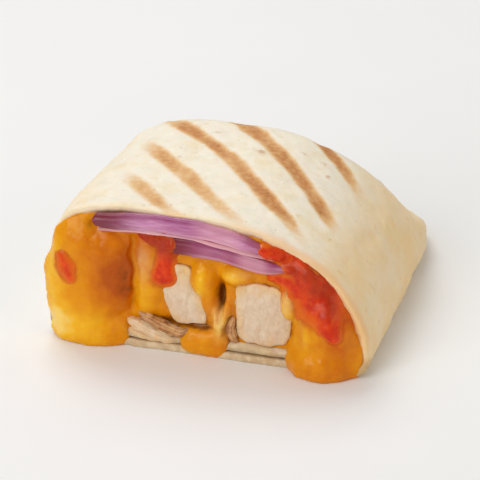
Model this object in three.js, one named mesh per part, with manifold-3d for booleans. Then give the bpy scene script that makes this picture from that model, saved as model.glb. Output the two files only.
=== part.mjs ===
// One half of a grilled buffalo chicken wrap, cut straight across its middle.
//
// Millimetres, +Z up. The cut face looks towards -Y, the folded end lies towards +Y, and the
// roll stands on z = 0. The group is shifted at the end so that its box is centred on the origin.
//
// A single flour tortilla runs once and a quarter round the filling: its inner flap lies on the
// floor of the roll, it climbs the left side, crosses the crown, comes down the right side, and
// its outer flap closes the roll underneath. Melted cheese holds two strips of chicken and two
// curved slices of onion, which all run back from the cut face through the roll.

import * as THREE from "three";
import { mergeVertices } from "three/addons/utils/BufferGeometryUtils.js";
import Module from "manifold-3d";

const wasm = await Module();
wasm.setup();

// ---------------------------------------------------------------- driving dimensions

const WIDTH = 90; // across the roll at the cut face
const CUT_CROWN = 41; // height of the roll at the cut face
const CROWN = 44.5; // height of the roll where it swells, behind the cut
const SWELL_AT = 0.5; // share of the length at which it is at its highest
const LENGTH = 90; // from the cut face to the folded end
const WAIST = 7.5; // height at which the roll is widest
const SHEET = 2.1; // thickness of the tortilla
const GAP = 0.35; // clearance kept between pieces that touch
const SLIVER = 0.02; // details smaller than this are merged away

const LEFT_SQUARENESS = 5; // superellipse exponent of the left shoulder, at the cut face
const LEFT_SQUARENESS_BACK = 3.4; // and from the swell on
const RIGHT_SQUARENESS = 1.95;
const FOOT_SQUARENESS = 5;
const LEAN = 0.025; // share by which the crown drops towards the right

const END_CROWN = 9; // height of the pressed, folded end
const FALL_START = 0.56; // shares of the length between which the crown falls to the end
const FALL_END = 0.98;
const END_WIDTH_LOSS = 0.09; // share of the width lost evenly along the roll
const CORNER_START = 0.8; // where the two far corners start to round off
const CORNER_LOSS = 0.22;
const NOSE = 2.6; // how far the end bulges past the last full section
const LIP_SLOT = 0.7; // slot between the two lips of the folded end
const LIP_DEPTH = 9;

const RING = 44; // points round one section of the roll
const STATIONS = [0, 0.16, 0.32, 0.48, 0.58, 0.66, 0.74, 0.82, 0.89, 0.94, 0.98, 0.995, 1];
const FILLING_END = 0.86; // share of the length that the filling reaches
const FORWARD = 14; // how far solids that cut others reach in front of the cut face

const FLAP_FLOOR = 2 * SHEET + 0.5; // height of the cavity floor, over both bottom layers
const SEAM = 0.4; // slot between the two bottom layers
const OUTER_FLAP_EDGE = -31; // where the outer flap ends, underneath
const INNER_FLAP_EDGE = 27; // where the inner flap ends, inside

// ---------------------------------------------------------------- the roll's own shape

// Goes smoothly from 0 to 1 while t does.
const ease = (t) => THREE.MathUtils.smoothstep(t, 0, 1);

// Half width, crown, waist and left shoulder of the roll at a share v of its length.
function station(v) {
  const cornerShare = Math.max(0, (v - CORNER_START) / (1 - CORNER_START));
  const corner = CORNER_LOSS * (1 - Math.sqrt(1 - Math.min(1, cornerShare) ** 2));
  const plan = (1 - END_WIDTH_LOSS * v ** 1.5) * (1 - corner);
  const settled = ease(v / SWELL_AT);
  const level = CUT_CROWN + (CROWN - CUT_CROWN) * settled;
  const fall = ease((v - FALL_START) / (FALL_END - FALL_START));
  const crown = level + (END_CROWN - level) * fall;
  return {
    y: LENGTH * v,
    halfWidth: (WIDTH / 2) * plan,
    crown,
    waist: Math.min(WAIST, crown * 0.45),
    leftSquareness: LEFT_SQUARENESS + (LEFT_SQUARENESS_BACK - LEFT_SQUARENESS) * settled,
  };
}

// Height of the roll's outer surface over the place x at a station.
function roofHeight(x, { halfWidth, crown, waist, leftSquareness }) {
  const share = Math.min(1, Math.abs(x) / halfWidth);
  const power = x < 0 ? leftSquareness : RIGHT_SQUARENESS;
  const rise = (crown - waist) * (1 - share ** power) ** (1 / power);
  return waist + rise * (1 - (LEAN * x) / halfWidth);
}

// A closed polyline resampled to count points, evenly spaced along its length.
function resample(points, count) {
  const closed = [...points, points[0]];
  const lengths = [0];
  for (let i = 1; i < closed.length; i++) {
    lengths.push(lengths[i - 1] + closed[i].distanceTo(closed[i - 1]));
  }
  const total = lengths[lengths.length - 1];
  const out = [];
  let segment = 1;
  for (let k = 0; k < count; k++) {
    const target = (total * k) / count;
    while (lengths[segment] < target) segment++;
    const span = lengths[segment] - lengths[segment - 1];
    const share = span > 0 ? (target - lengths[segment - 1]) / span : 0;
    out.push(closed[segment - 1].clone().lerp(closed[segment], share));
  }
  return out;
}

// The outline of the roll at a station, anticlockwise as seen from the cut face. The foot is
// clamped to the ground, which gives the roll its flat underside.
function outline(place, count = RING) {
  const dense = 720;
  const points = [];
  for (let i = 0; i < dense; i++) {
    const angle = (i / dense) * 2 * Math.PI - Math.PI / 2;
    const across = Math.cos(angle);
    const up = Math.sin(angle);
    const upper = across < 0 ? place.leftSquareness : RIGHT_SQUARENESS;
    const power = up > 0 ? upper : FOOT_SQUARENESS;
    const x = place.halfWidth * Math.sign(across) * Math.abs(across) ** (2 / power);
    const foot = place.waist - (place.waist + 1) * Math.abs(up) ** (2 / power);
    points.push(new THREE.Vector2(x, up > 0 ? roofHeight(x, place) : Math.max(0, foot)));
  }
  return resample(points, count);
}

// The outline moved inwards by a distance, or outwards where that is negative.
function inset(ring, distance) {
  return ring.map((point, i) => {
    const before = ring[(i + ring.length - 1) % ring.length];
    const after = ring[(i + 1) % ring.length];
    const along = after.clone().sub(before).normalize();
    return new THREE.Vector2(point.x - along.y * distance, point.y + along.x * distance);
  });
}

// ---------------------------------------------------------------- solids

// A closed mesh through a list of { y, ring } sections that all have the same number of points.
function loft(sections) {
  const count = sections[0].ring.length;
  const positions = sections.flatMap(({ y, ring }) => ring.flatMap((p) => [p.x, y, p.y]));
  const triangles = [];
  for (let i = 0; i + 1 < sections.length; i++) {
    for (let j = 0; j < count; j++) {
      const near = i * count;
      const far = near + count;
      const next = (j + 1) % count;
      triangles.push(near + j, far + j, far + next, near + j, far + next, near + next);
    }
  }
  const last = (sections.length - 1) * count;
  for (const [a, b, c] of capTriangles(sections[0].ring)) triangles.push(a, b, c);
  for (const [a, b, c] of capTriangles(sections[sections.length - 1].ring)) {
    triangles.push(last + a, last + c, last + b);
  }
  return manifoldFrom(positions, triangles);
}

// Triangles that fill one ring, each anticlockwise as seen from the cut face.
function capTriangles(ring) {
  return THREE.ShapeUtils.triangulateShape(ring, []).map(([a, b, c]) => {
    const ab = ring[b].clone().sub(ring[a]);
    const ac = ring[c].clone().sub(ring[a]);
    return ab.cross(ac) > 0 ? [a, b, c] : [a, c, b];
  });
}

function manifoldFrom(positions, triangles) {
  const mesh = new wasm.Mesh({
    numProp: 3,
    vertProperties: new Float32Array(positions),
    triVerts: new Uint32Array(triangles),
  });
  return new wasm.Manifold(mesh);
}

// A geometry as a solid, placed by a matrix.
function solidFromGeometry(geometry, matrix = new THREE.Matrix4()) {
  const bare = geometry.clone().applyMatrix4(matrix);
  bare.deleteAttribute("normal");
  bare.deleteAttribute("uv");
  const merged = mergeVertices(bare, 1e-4);
  return manifoldFrom(merged.attributes.position.array, merged.index.array);
}

function box(low, high) {
  const size = high.map((value, i) => value - low[i]);
  const middle = high.map((value, i) => (value + low[i]) / 2);
  const matrix = new THREE.Matrix4().makeTranslation(...middle);
  return solidFromGeometry(new THREE.BoxGeometry(...size), matrix);
}

// The largest body of a solid, without the crumbs and slivers that booleans leave behind.
function largestBody(solid) {
  const bodies = solid.simplify(SLIVER).decompose();
  return bodies.sort((a, b) => b.volume() - a.volume())[0];
}

function meshFrom(name, solid, material) {
  const { numProp, vertProperties, triVerts } = largestBody(solid).getMesh();
  const positions = new Float32Array((vertProperties.length / numProp) * 3);
  for (let i = 0; i * numProp < vertProperties.length; i++) {
    positions.set(vertProperties.subarray(i * numProp, i * numProp + 3), i * 3);
  }
  const geometry = new THREE.BufferGeometry()
    .setAttribute("position", new THREE.BufferAttribute(positions, 3))
    .setIndex(new THREE.BufferAttribute(triVerts, 1));
  geometry.computeVertexNormals();
  const mesh = new THREE.Mesh(geometry, material);
  mesh.name = name;
  return mesh;
}

// ---------------------------------------------------------------- the roll

// The whole roll, from the cut face to the nose of its folded end.
function rollSolid() {
  const sections = STATIONS.map(station).map((place) => ({ y: place.y, ring: outline(place) }));
  const end = station(1);
  const nose = { ...end, halfWidth: end.halfWidth * 0.88, crown: end.crown * 0.7 };
  return loft([...sections, { y: LENGTH + NOSE, ring: outline(nose) }]);
}

// The space inside the roll, shrunk by a distance. It stands on the inner bottom layer.
function cavitySolid(shrink = 0) {
  const floor = FLAP_FLOOR + shrink;
  const walled = (place) =>
    inset(outline(place), SHEET + shrink).map((p) => new THREE.Vector2(p.x, Math.max(floor, p.y)));
  const inside = STATIONS.filter((v) => v > 0 && v < FILLING_END);
  const sections = [-FORWARD, 0.5].map((y) => ({ y, ring: walled(station(0)) }));
  for (const v of [...inside, FILLING_END]) {
    sections.push({ y: station(v).y - shrink, ring: walled(station(v)) });
  }
  return loft(sections);
}

// The slot between the two bottom layers. It opens into the cavity at the inner flap's edge
// and underneath at the outer flap's edge, so that the sheet really is one open spiral.
function seamSlot() {
  const low = SHEET;
  const high = SHEET + SEAM;
  const profile = [
    [OUTER_FLAP_EDGE - 2.4, -1],
    [OUTER_FLAP_EDGE - 1.4, -1],
    [OUTER_FLAP_EDGE + 1.2, low],
    [INNER_FLAP_EDGE, low],
    [INNER_FLAP_EDGE + 2.2, FLAP_FLOOR + 1],
    [INNER_FLAP_EDGE + 1.2, FLAP_FLOOR + 1],
    [INNER_FLAP_EDGE - 0.8, high],
    [OUTER_FLAP_EDGE, high],
  ].map(([x, z]) => new THREE.Vector2(x, z));
  return loft([
    { y: -1, ring: profile },
    { y: LENGTH * (FILLING_END - 0.06), ring: profile },
  ]);
}

// The slot that parts the upper lip of the folded end from the lower one.
function lipSlot() {
  const middle = END_CROWN * 0.36;
  const low = [-WIDTH, LENGTH + NOSE - LIP_DEPTH, middle - LIP_SLOT / 2];
  return box(low, [WIDTH, LENGTH + 2 * NOSE, middle + LIP_SLOT / 2]);
}

function tortillaSolid() {
  return rollSolid().subtract(cavitySolid()).subtract(seamSlot()).subtract(lipSlot());
}

// ---------------------------------------------------------------- the filling

// An onion slice follows the underside of the roof. It has rounded long edges.
const ONION_SLICES = {
  onion_upper: { from: -31.4, to: 21, drop: SHEET + 3 * GAP, thick: 3.9, front: -2.6, reach: 0.52 },
  onion_lower: { from: -10, to: 24, drop: 7.6, thick: 3.9, front: -1.9, reach: 0.48 },
};

// The band of an onion slice. roofward thickens it upwards and grow on every side.
function onionSolid({ from, to, drop, thick, front, reach }, grow = 0, roofward = 0) {
  const steps = 14;
  const bandAt = (place) => {
    const upper = [];
    const lower = [];
    for (let i = 0; i <= steps; i++) {
      const share = i / steps;
      const x = from - grow + (to - from + 2 * grow) * share;
      const roundness = Math.sqrt(Math.max(0.05, 1 - Math.abs(2 * share - 1) ** 6));
      const middle = roofHeight(x, place) - drop - thick / 2;
      const half = (thick / 2) * roundness + grow;
      upper.push(new THREE.Vector2(x, middle + half + roofward));
      lower.push(new THREE.Vector2(x, middle - half));
    }
    return [...lower, ...upper.reverse()];
  };
  const shares = [0, 0.16, 0.32, 0.48, 0.52].filter((v) => v <= reach);
  return loft([
    { y: front - grow, ring: bandAt(station(0)) },
    ...shares.map((v) => ({ y: station(v).y + 0.5 + grow, ring: bandAt(station(v)) })),
  ]);
}

// A chicken strip narrows and wanders a little along the roll. Its section is a rounded polygon,
// given by the corners of its cut end, as x and z.
const CHICKEN_STRIPS = {
  chicken_left: {
    corners: [
      [-12.8, 26.2], [-4.4, 27], [-2.8, 20.5], [0.2, 14], [0.4, 8.8], [-5, 7.8], [-10.4, 9], [-12.8, 15.5],
    ],
    front: -1.0,
    length: 58,
  },
  chicken_right: {
    corners: [
      [7.6, 23], [15, 24.4], [21.2, 23], [24.4, 16.5], [23.4, 6.2], [16, 4.6], [8.2, 5.4], [7.4, 14],
    ],
    front: -1.2,
    length: 54,
  },
};

function middleOf(corners) {
  const mean = (axis) => corners.reduce((sum, corner) => sum + corner[axis], 0) / corners.length;
  return new THREE.Vector2(mean(0), mean(1));
}

// How far the rounded outline lies from its middle, in count even directions.
function reachRound(corners, count) {
  const middle = middleOf(corners);
  const outer = corners.map(([x, z]) => new THREE.Vector2(x, z).sub(middle));
  const crossing = (angle) => {
    const ray = new THREE.Vector2(Math.cos(angle), Math.sin(angle));
    return outer.reduce((nearest, from, i) => {
      const side = outer[(i + 1) % outer.length].clone().sub(from);
      const along = ray.cross(side);
      const distance = from.cross(side) / along;
      const share = from.cross(ray) / along;
      return share >= 0 && share <= 1 && distance > 0 ? Math.min(nearest, distance) : nearest;
    }, Infinity);
  };
  const rounding = [-16, -8, 0, 8, 16].map(THREE.MathUtils.degToRad);
  return Array.from({ length: count }, (_, i) => {
    const angle = (i / count) * 2 * Math.PI + 1e-4;
    return rounding.reduce((sum, turn) => sum + crossing(angle + turn), 0) / rounding.length;
  });
}

function chickenSolid({ corners, front, length }, grow = 0) {
  const around = 24;
  const middle = middleOf(corners);
  const reaches = reachRound(corners, around);
  const sections = [0, 0.16, 0.36, 0.58, 0.8, 0.94, 1].map((v) => {
    const size = 1 - 0.12 * v - 0.45 * Math.max(0, (v - 0.8) / 0.2) ** 2;
    const tilt = 0.12 * Math.sin(3 * v);
    const ring = reaches.map((reach, i) => {
      const angle = (i / around) * 2 * Math.PI;
      const dx = (reach * size + grow) * Math.cos(angle);
      const dz = (reach * size * (1 - 0.12 * v) + grow) * Math.sin(angle);
      const px = middle.x - 1.5 * Math.sin(4 * v) + dx * Math.cos(tilt) - dz * Math.sin(tilt);
      const pz = middle.y - 2.5 * v + dx * Math.sin(tilt) + dz * Math.cos(tilt);
      return new THREE.Vector2(px, Math.max(pz, FLAP_FLOOR + GAP - grow));
    });
    return { y: front + length * v + (v < 0.5 ? -grow : grow), ring };
  });
  return loft(sections);
}

// Melted cheese stands back a little from the cut, except where it has run out of the roll and
// set in front of it. Each run is a flat dome on the cut face: its middle, radii and depth.
const MELT_LEVEL = -0.5;
const MELT_RUNS = [
  { x: -37, z: 20, wide: 9.6, high: 17.2, deep: 4.2 }, // the big left mass
  { x: -35.5, z: 11, wide: 10.4, high: 12, deep: 4.4 },
  { x: -29.8, z: 20, wide: 9.4, high: 13.5, deep: 3.4 },
  { x: -33, z: 2.4, wide: 12, high: 6.8, deep: 4.9 }, // its skirt on the ground
  { x: -3, z: 3.8, wide: 5.6, high: 5, deep: 2.1 }, // the drip in the middle
  { x: 2, z: 3.4, wide: 4.8, high: 5, deep: 1.9 },
  { x: 33, z: 10.5, wide: 9, high: 13, deep: 5.3 }, // the right mass
  { x: 32, z: 2.4, wide: 10.4, high: 7.6, deep: 7.4 },
];
const MELT_SOFTNESS = 0.8; // the larger, the smoother the runs flow into each other
const MELT_GRID = { left: -47, right: 46, top: 41, columns: 46, rows: 20, back: 10 };

// How far the cheese stands in front of the cut face.
function meltDepth(x, z) {
  const depths = MELT_RUNS.map((run) => {
    const away = Math.hypot((x - run.x) / run.wide, (z - run.z) / run.high);
    return Math.max(MELT_LEVEL, run.deep * (1 - away ** 2.6));
  });
  const total = depths.reduce((sum, depth) => sum + Math.exp(depth / MELT_SOFTNESS), 0);
  const resting = (depths.length - 1) * Math.exp(MELT_LEVEL / MELT_SOFTNESS);
  return MELT_SOFTNESS * Math.log(total - resting);
}

// A block whose front follows meltDepth. It stands on the ground.
function meltBlock() {
  const { left, right, top, columns, rows, back } = MELT_GRID;
  const across = columns + 1;
  const layer = across * (rows + 1);
  const positions = [];
  for (const front of [true, false]) {
    for (let j = 0; j <= rows; j++) {
      for (let i = 0; i <= columns; i++) {
        const x = left + ((right - left) * i) / columns;
        const z = (top * j) / rows;
        positions.push(x, front ? -meltDepth(x, z) : back, z);
      }
    }
  }
  const triangles = [];
  const quad = (a, b, c, d) => triangles.push(a, b, c, a, c, d);
  for (let j = 0; j < rows; j++) {
    for (let i = 0; i < columns; i++) {
      const at = j * across + i;
      quad(at, at + 1, at + across + 1, at + across);
      quad(layer + at, layer + at + across, layer + at + across + 1, layer + at + 1);
    }
    const start = j * across;
    const end = start + columns;
    quad(start, start + across, layer + start + across, layer + start);
    quad(end, layer + end, layer + end + across, end + across);
  }
  for (let i = 0; i < columns; i++) {
    const high = rows * across + i;
    quad(i, layer + i, layer + i + 1, i + 1);
    quad(high, high + 1, layer + high + 1, layer + high);
  }
  return manifoldFrom(positions, triangles);
}

function cheeseSolid() {
  const block = meltBlock();
  const ahead = box([-2 * WIDTH, -2 * FORWARD, -1], [2 * WIDTH, -GAP, 2 * CROWN]);
  const behind = box([-2 * WIDTH, MELT_GRID.back - 2, -1], [2 * WIDTH, 2 * LENGTH, 2 * CROWN]);
  let cheese = cavitySolid(GAP).intersect(behind.add(block)).add(block.intersect(ahead));
  for (const slice of Object.values(ONION_SLICES)) {
    cheese = cheese.subtract(onionSolid(slice, GAP, 1.2));
  }
  for (const strip of Object.values(CHICKEN_STRIPS)) cheese = cheese.subtract(chickenSolid(strip, GAP));
  return cheese;
}

// ---------------------------------------------------------------- materials and assembly

const finish = (color, roughness) =>
  new THREE.MeshStandardMaterial({ color, roughness, metalness: 0 });

const tortilla = finish("#eedfbe", 0.85);
const cheese = finish("#dd930f", 0.3);
const chicken = finish("#d8bda0", 0.6);
const onion = finish("#a8608a", 0.35);

const wrapHalf = new THREE.Group();
wrapHalf.add(meshFrom("tortilla", tortillaSolid(), tortilla));
wrapHalf.add(meshFrom("cheese", cheeseSolid(), cheese));
for (const [name, strip] of Object.entries(CHICKEN_STRIPS)) {
  wrapHalf.add(meshFrom(name, chickenSolid(strip), chicken));
}
for (const [name, slice] of Object.entries(ONION_SLICES)) {
  wrapHalf.add(meshFrom(name, onionSolid(slice), onion));
}

// The origin is at the middle of the box's underside.
const bounds = new THREE.Box3().setFromObject(wrapHalf);
const centre = bounds.getCenter(new THREE.Vector3());
wrapHalf.position.set(-centre.x, -centre.y, -bounds.min.z);

export default wrapHalf;
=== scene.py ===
"""The looks of a cut half of a grilled buffalo chicken wrap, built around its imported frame.

Shapes are worked out in millimetres in the roll's own terms: x across the roll from its middle,
y back from the cut face, z up from the ground. to_frame() turns them into the frame's metres.
"""

import math
import random
from contextlib import contextmanager
from types import SimpleNamespace

import bpy
import numpy as np
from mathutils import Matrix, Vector, noise
from mathutils.bvhtree import BVHTree


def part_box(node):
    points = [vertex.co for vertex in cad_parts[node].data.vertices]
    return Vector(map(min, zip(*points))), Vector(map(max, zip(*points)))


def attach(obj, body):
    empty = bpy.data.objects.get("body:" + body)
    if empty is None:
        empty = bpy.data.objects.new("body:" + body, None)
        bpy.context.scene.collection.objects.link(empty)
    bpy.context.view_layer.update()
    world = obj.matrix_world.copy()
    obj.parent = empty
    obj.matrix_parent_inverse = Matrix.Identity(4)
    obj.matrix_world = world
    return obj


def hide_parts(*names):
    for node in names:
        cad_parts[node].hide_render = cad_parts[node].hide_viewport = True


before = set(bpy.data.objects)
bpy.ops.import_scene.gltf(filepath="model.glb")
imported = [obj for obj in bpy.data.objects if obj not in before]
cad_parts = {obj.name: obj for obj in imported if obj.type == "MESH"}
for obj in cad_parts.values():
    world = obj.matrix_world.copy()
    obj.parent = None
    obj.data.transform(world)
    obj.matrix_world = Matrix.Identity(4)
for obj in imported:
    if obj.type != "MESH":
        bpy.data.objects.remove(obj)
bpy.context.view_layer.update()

# ---------------------------------------------------------------- driving dimensions

MM = 0.001
BODY = "root"

sheet_low, sheet_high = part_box("tortilla")
MIDDLE_X = (sheet_low.x + sheet_high.x) / 2 / MM
CUT_Y = sheet_low.y / MM

NOSE = 2.6  # how far the folded end bulges past the last full section
WIDTH = (sheet_high.x - sheet_low.x) / MM
LENGTH = (sheet_high.y - sheet_low.y) / MM - NOSE
CROWN = sheet_high.z / MM - 0.12  # height of the roll where it swells, less its blisters
CUT_CROWN = CROWN - 3.5  # height of the roll at the cut face
SWELL_AT = 0.5  # share of the length at which it is at its highest
WAIST = 7.5  # height at which the roll is widest
SHEET = 2.1  # thickness of the tortilla
LEFT_SQUARENESS = 5  # superellipse exponent of the left shoulder, at the cut face
LEFT_SQUARENESS_BACK = 3.4  # and from the swell on
RIGHT_SQUARENESS = 1.95
FOOT_SQUARENESS = 5
LEAN = 0.025  # share by which the crown drops towards the right
END_CROWN = 9  # height of the pressed, folded end
FALL_START = 0.56  # shares of the length between which the crown falls to the end
FALL_END = 0.98
END_WIDTH_LOSS = 0.09  # share of the width lost evenly along the roll
CORNER_START = 0.8  # where the two far corners start to round off
CORNER_LOSS = 0.22
SEAM = 0.4  # slot between the two bottom layers
FLOOR = 2 * SHEET + SEAM  # height of both bottom layers
OUTER_FLAP_EDGE = -31
INNER_FLAP_EDGE = 27
RAMP_REACH = 5.5  # how far past the outer flap's edge the inner layer touches the ground
FLAP_END = 0.84  # share of the length at which the inner flap ends
SHEET_MERGED = 0.94  # and at which the edges of the sheet have run into each other
LIP_MIDDLE = 3.2  # height of the mouth between the two lips of the folded end
LIP_TURN = 0.06  # share of the length over which a lip turns round, and again into the mouth
FILLING_END = 0.86  # share of the length that the filling reaches

# Columns of the sheet's mesh: along its inner flap, up the ramp beside it, and round the rest.
FLAP_COLUMNS = 60
RAMP_COLUMNS = 14
BODY_COLUMNS = 310
# Columns and rows of the other meshes, and the squares of the remeshed ones in millimetres.
CHEESE_GRID = (216, 96)
PLUG_COLUMNS = 120
CHEESE_VOXEL = 0.42
CHICKEN_VOXEL = 0.36
SAUCE_GRID = (300, 120)
ONION_GRID = (230, 12)
SHRED_GRID = (12, 12)
SHRED_STEPS = 40
MERGE_METRES = 1e-6  # points that lie closer than this become one

random.seed(12)

# ---------------------------------------------------------------- small tools


def smooth(value, low=0.0, high=1.0):
    """Goes smoothly from 0 to 1 while value goes from low to high."""
    share = np.clip((value - low) / (high - low), 0, 1)
    return share * share * (3 - 2 * share)


def to_frame(points):
    """Points in the roll's millimetres as points in the frame's metres."""
    return (np.asarray(points, float) + (MIDDLE_X, CUT_Y, 0)) * MM


def from_frame(points):
    """Points in the frame's metres as points in the roll's millimetres."""
    return np.asarray(points, float) / MM - (MIDDLE_X, CUT_Y, 0)


def ripple(points, size, octaves=3, shift=0.0):
    """Smooth noise between about -1 and 1, with features of a given size in millimetres."""
    size = np.broadcast_to(size, 3)
    scaled = np.asarray(points, float) / size + shift
    return np.array([noise.fractal(Vector(p), 1.0, 2.0, octaves) for p in scaled])


def thin_lines(waves, width):
    """1 where smooth noise passes through 0, falling to 0 on both sides."""
    return np.clip(1 - np.abs(waves) / width, 0, 1)


def read_vectors(items, name):
    """One vector for each point or face of a mesh, as the rows of an array."""
    values = np.zeros(len(items) * 3)
    items.foreach_get(name, values)
    return values.reshape(-1, 3)


def raw_points(piece):
    """The points of a piece as they are stored: metres, or steps of a grid."""
    return read_vectors(piece.data.vertices, "co")


def set_raw_points(piece, points):
    piece.data.vertices.foreach_set("co", np.asarray(points, float).ravel())
    piece.data.update()


def get_points(piece):
    """The points of a piece in the roll's millimetres."""
    return from_frame(raw_points(piece))


def set_points(piece, *points):
    """Moves the points of a piece, given in the roll's millimetres as rows or as x, y and z."""
    set_raw_points(piece, to_frame(points[0] if len(points) == 1 else np.stack(points, 1)))


def get_normals(piece):
    return read_vectors(piece.data.vertices, "normal")


def paint(piece, **looks):
    """Stores numbers from 0 to 1 for each point of a piece, for its material to read."""
    for name, values in looks.items():
        layer = piece.data.attributes.new(name, "FLOAT", "POINT")
        even = np.broadcast_to(np.asarray(values, float), len(piece.data.vertices))
        layer.data.foreach_set("value", np.clip(even, 0, 1))


def pick(piece):
    """Makes one object the only selected and active one."""
    bpy.ops.object.select_all(action="DESELECT")
    piece.select_set(True)
    bpy.context.view_layer.objects.active = piece


@contextmanager
def editing(piece):
    """Edit mode on one piece, with all of it selected."""
    pick(piece)
    bpy.ops.object.mode_set(mode="EDIT")
    bpy.ops.mesh.select_all(action="SELECT")
    yield
    bpy.ops.object.mode_set(mode="OBJECT")


def new_piece(name):
    """Names the primitive that was just added."""
    piece = bpy.context.object
    piece.name = name
    piece.data.name = name
    return piece


def add_grid(name, columns, rows):
    """A grid whose points lie between 0 and 1 in x and y."""
    bpy.ops.object.select_all(action="DESELECT")
    bpy.ops.mesh.primitive_grid_add(x_subdivisions=columns, y_subdivisions=rows, size=1)
    piece = new_piece(name)
    set_raw_points(piece, raw_points(piece) + (0.5, 0.5, 0))
    return piece


def grid_places(flat, columns, rows):
    """The column and row of each point of a grid."""
    return np.rint(flat[:, :2] * (columns, rows)).astype(int).T


def extrude(*offset):
    bpy.ops.mesh.extrude_region_move(TRANSFORM_OT_translate={"value": offset})


def add_slab(name, across, up, steps):
    """A closed block of even points: x and y from 0 to 1 on its front, z counting its layers."""
    piece = add_grid(name, across, up)
    with editing(piece):
        for _ in range(steps):
            extrude(0, 0, 1)
    return piece


def add_block(name, cuts=0):
    """A cube between -1 and 1 whose edges are cut evenly."""
    bpy.ops.object.select_all(action="DESELECT")
    bpy.ops.mesh.primitive_cube_add(size=2)
    piece = new_piece(name)
    if cuts:
        with editing(piece):
            bpy.ops.mesh.subdivide(number_cuts=cuts)
    return piece


@contextmanager
def editing_only(piece, kind, items, chosen):
    """Edit mode on one piece, with only the items selected that a mask names."""
    pick(piece)
    bpy.ops.object.mode_set(mode="EDIT")
    bpy.ops.mesh.select_mode(type=kind)
    bpy.ops.mesh.select_all(action="DESELECT")
    bpy.ops.object.mode_set(mode="OBJECT")
    items.foreach_set("select", chosen)
    bpy.ops.object.mode_set(mode="EDIT")
    yield
    bpy.ops.object.mode_set(mode="OBJECT")


def delete_points(piece, doomed):
    """Deletes the points of a piece that a mask names, with the faces on them."""
    with editing_only(piece, "VERT", piece.data.vertices, doomed):
        bpy.ops.mesh.delete(type="VERT")


def apply_modifier(piece, kind, **settings):
    """Puts a modifier with the given settings on a piece and applies it."""
    pick(piece)
    modifier = piece.modifiers.new(kind.lower(), kind)
    for key, value in settings.items():
        setattr(modifier, key, value)
    bpy.ops.object.modifier_apply(modifier=modifier.name)


def smooth_out(piece, times):
    apply_modifier(piece, "SMOOTH", factor=0.5, iterations=times)


def remesh(piece, voxel, smoothing):
    """An even skin over a piece, in squares of the given size in millimetres."""
    apply_modifier(piece, "REMESH", mode="VOXEL", voxel_size=voxel * MM, use_smooth_shade=True)
    smooth_out(piece, smoothing)


def face_outwards(piece, merge=True):
    """Turns all faces of a closed piece outwards, after merging the points that meet."""
    with editing(piece):
        if merge:
            bpy.ops.mesh.remove_doubles(threshold=MERGE_METRES)
        bpy.ops.mesh.normals_make_consistent(inside=False)


def join(name, pieces):
    """One object out of several, with a new name."""
    bpy.ops.object.select_all(action="DESELECT")
    for piece in pieces:
        piece.select_set(True)
    bpy.context.view_layer.objects.active = pieces[0]
    bpy.ops.object.join()
    return new_piece(name)


def finish_piece(piece, material, slot, *nodes):
    """Shades a piece, fixes it to the body and hides the frame nodes it stands for."""
    piece.data.materials.clear()
    piece.data.materials.append(material)
    piece.data.polygons.foreach_set("use_smooth", [True] * len(piece.data.polygons))
    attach(piece, BODY)
    if nodes:
        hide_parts(*nodes)


# ---------------------------------------------------------------- the roll's own shape


def station(v):
    """Half width, crown, waist and left shoulder of the roll at a share v of its length."""
    corner_share = min(1, max(0, (v - CORNER_START) / (1 - CORNER_START)))
    corner = CORNER_LOSS * (1 - math.sqrt(1 - corner_share**2))
    settled = smooth(v / SWELL_AT)
    level = CUT_CROWN + (CROWN - CUT_CROWN) * settled
    fall = smooth(v, FALL_START, FALL_END)
    crown = level + (END_CROWN - level) * fall
    return SimpleNamespace(
        y=LENGTH * v,
        half=WIDTH / 2 * (1 - END_WIDTH_LOSS * v**1.5) * (1 - corner),
        crown=crown,
        waist=min(WAIST, crown * 0.45),
        left=LEFT_SQUARENESS + (LEFT_SQUARENESS_BACK - LEFT_SQUARENESS) * settled,
    )


def roof_height(x, place):
    """Height of the roll's outer face over x."""
    share = np.minimum(1, np.abs(x) / place.half)
    power = np.where(np.asarray(x) < 0, place.left, RIGHT_SQUARENESS)
    rise = (place.crown - place.waist) * (1 - share**power) ** (1 / power)
    return place.waist + rise * (1 - LEAN * np.asarray(x) / place.half)


def outline(place, samples=1440):
    """The roll's section from the middle of its foot, up the left side, over and down the right."""
    angle = -math.pi / 2 - np.linspace(0, 2 * math.pi, samples)
    across, up = np.cos(angle), np.sin(angle)
    upper = np.where(across < 0, place.left, RIGHT_SQUARENESS)
    power = np.where(up > 0, upper, FOOT_SQUARENESS)
    x = place.half * np.sign(across) * np.abs(across) ** (2 / power)
    foot = np.maximum(0, place.waist - (place.waist + 1) * np.abs(up) ** (2 / power))
    return np.stack([x, np.where(up > 0, roof_height(x, place), foot)], 1)


def evenly(path, shares):
    """Points at the given shares of a path's length."""
    steps = np.hypot(*np.diff(path, axis=0).T)
    lengths = np.concatenate([[0], np.cumsum(steps)])
    places = np.asarray(shares) * lengths[-1]
    return np.stack([np.interp(places, lengths, path[:, axis]) for axis in (0, 1)], 1)


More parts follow.
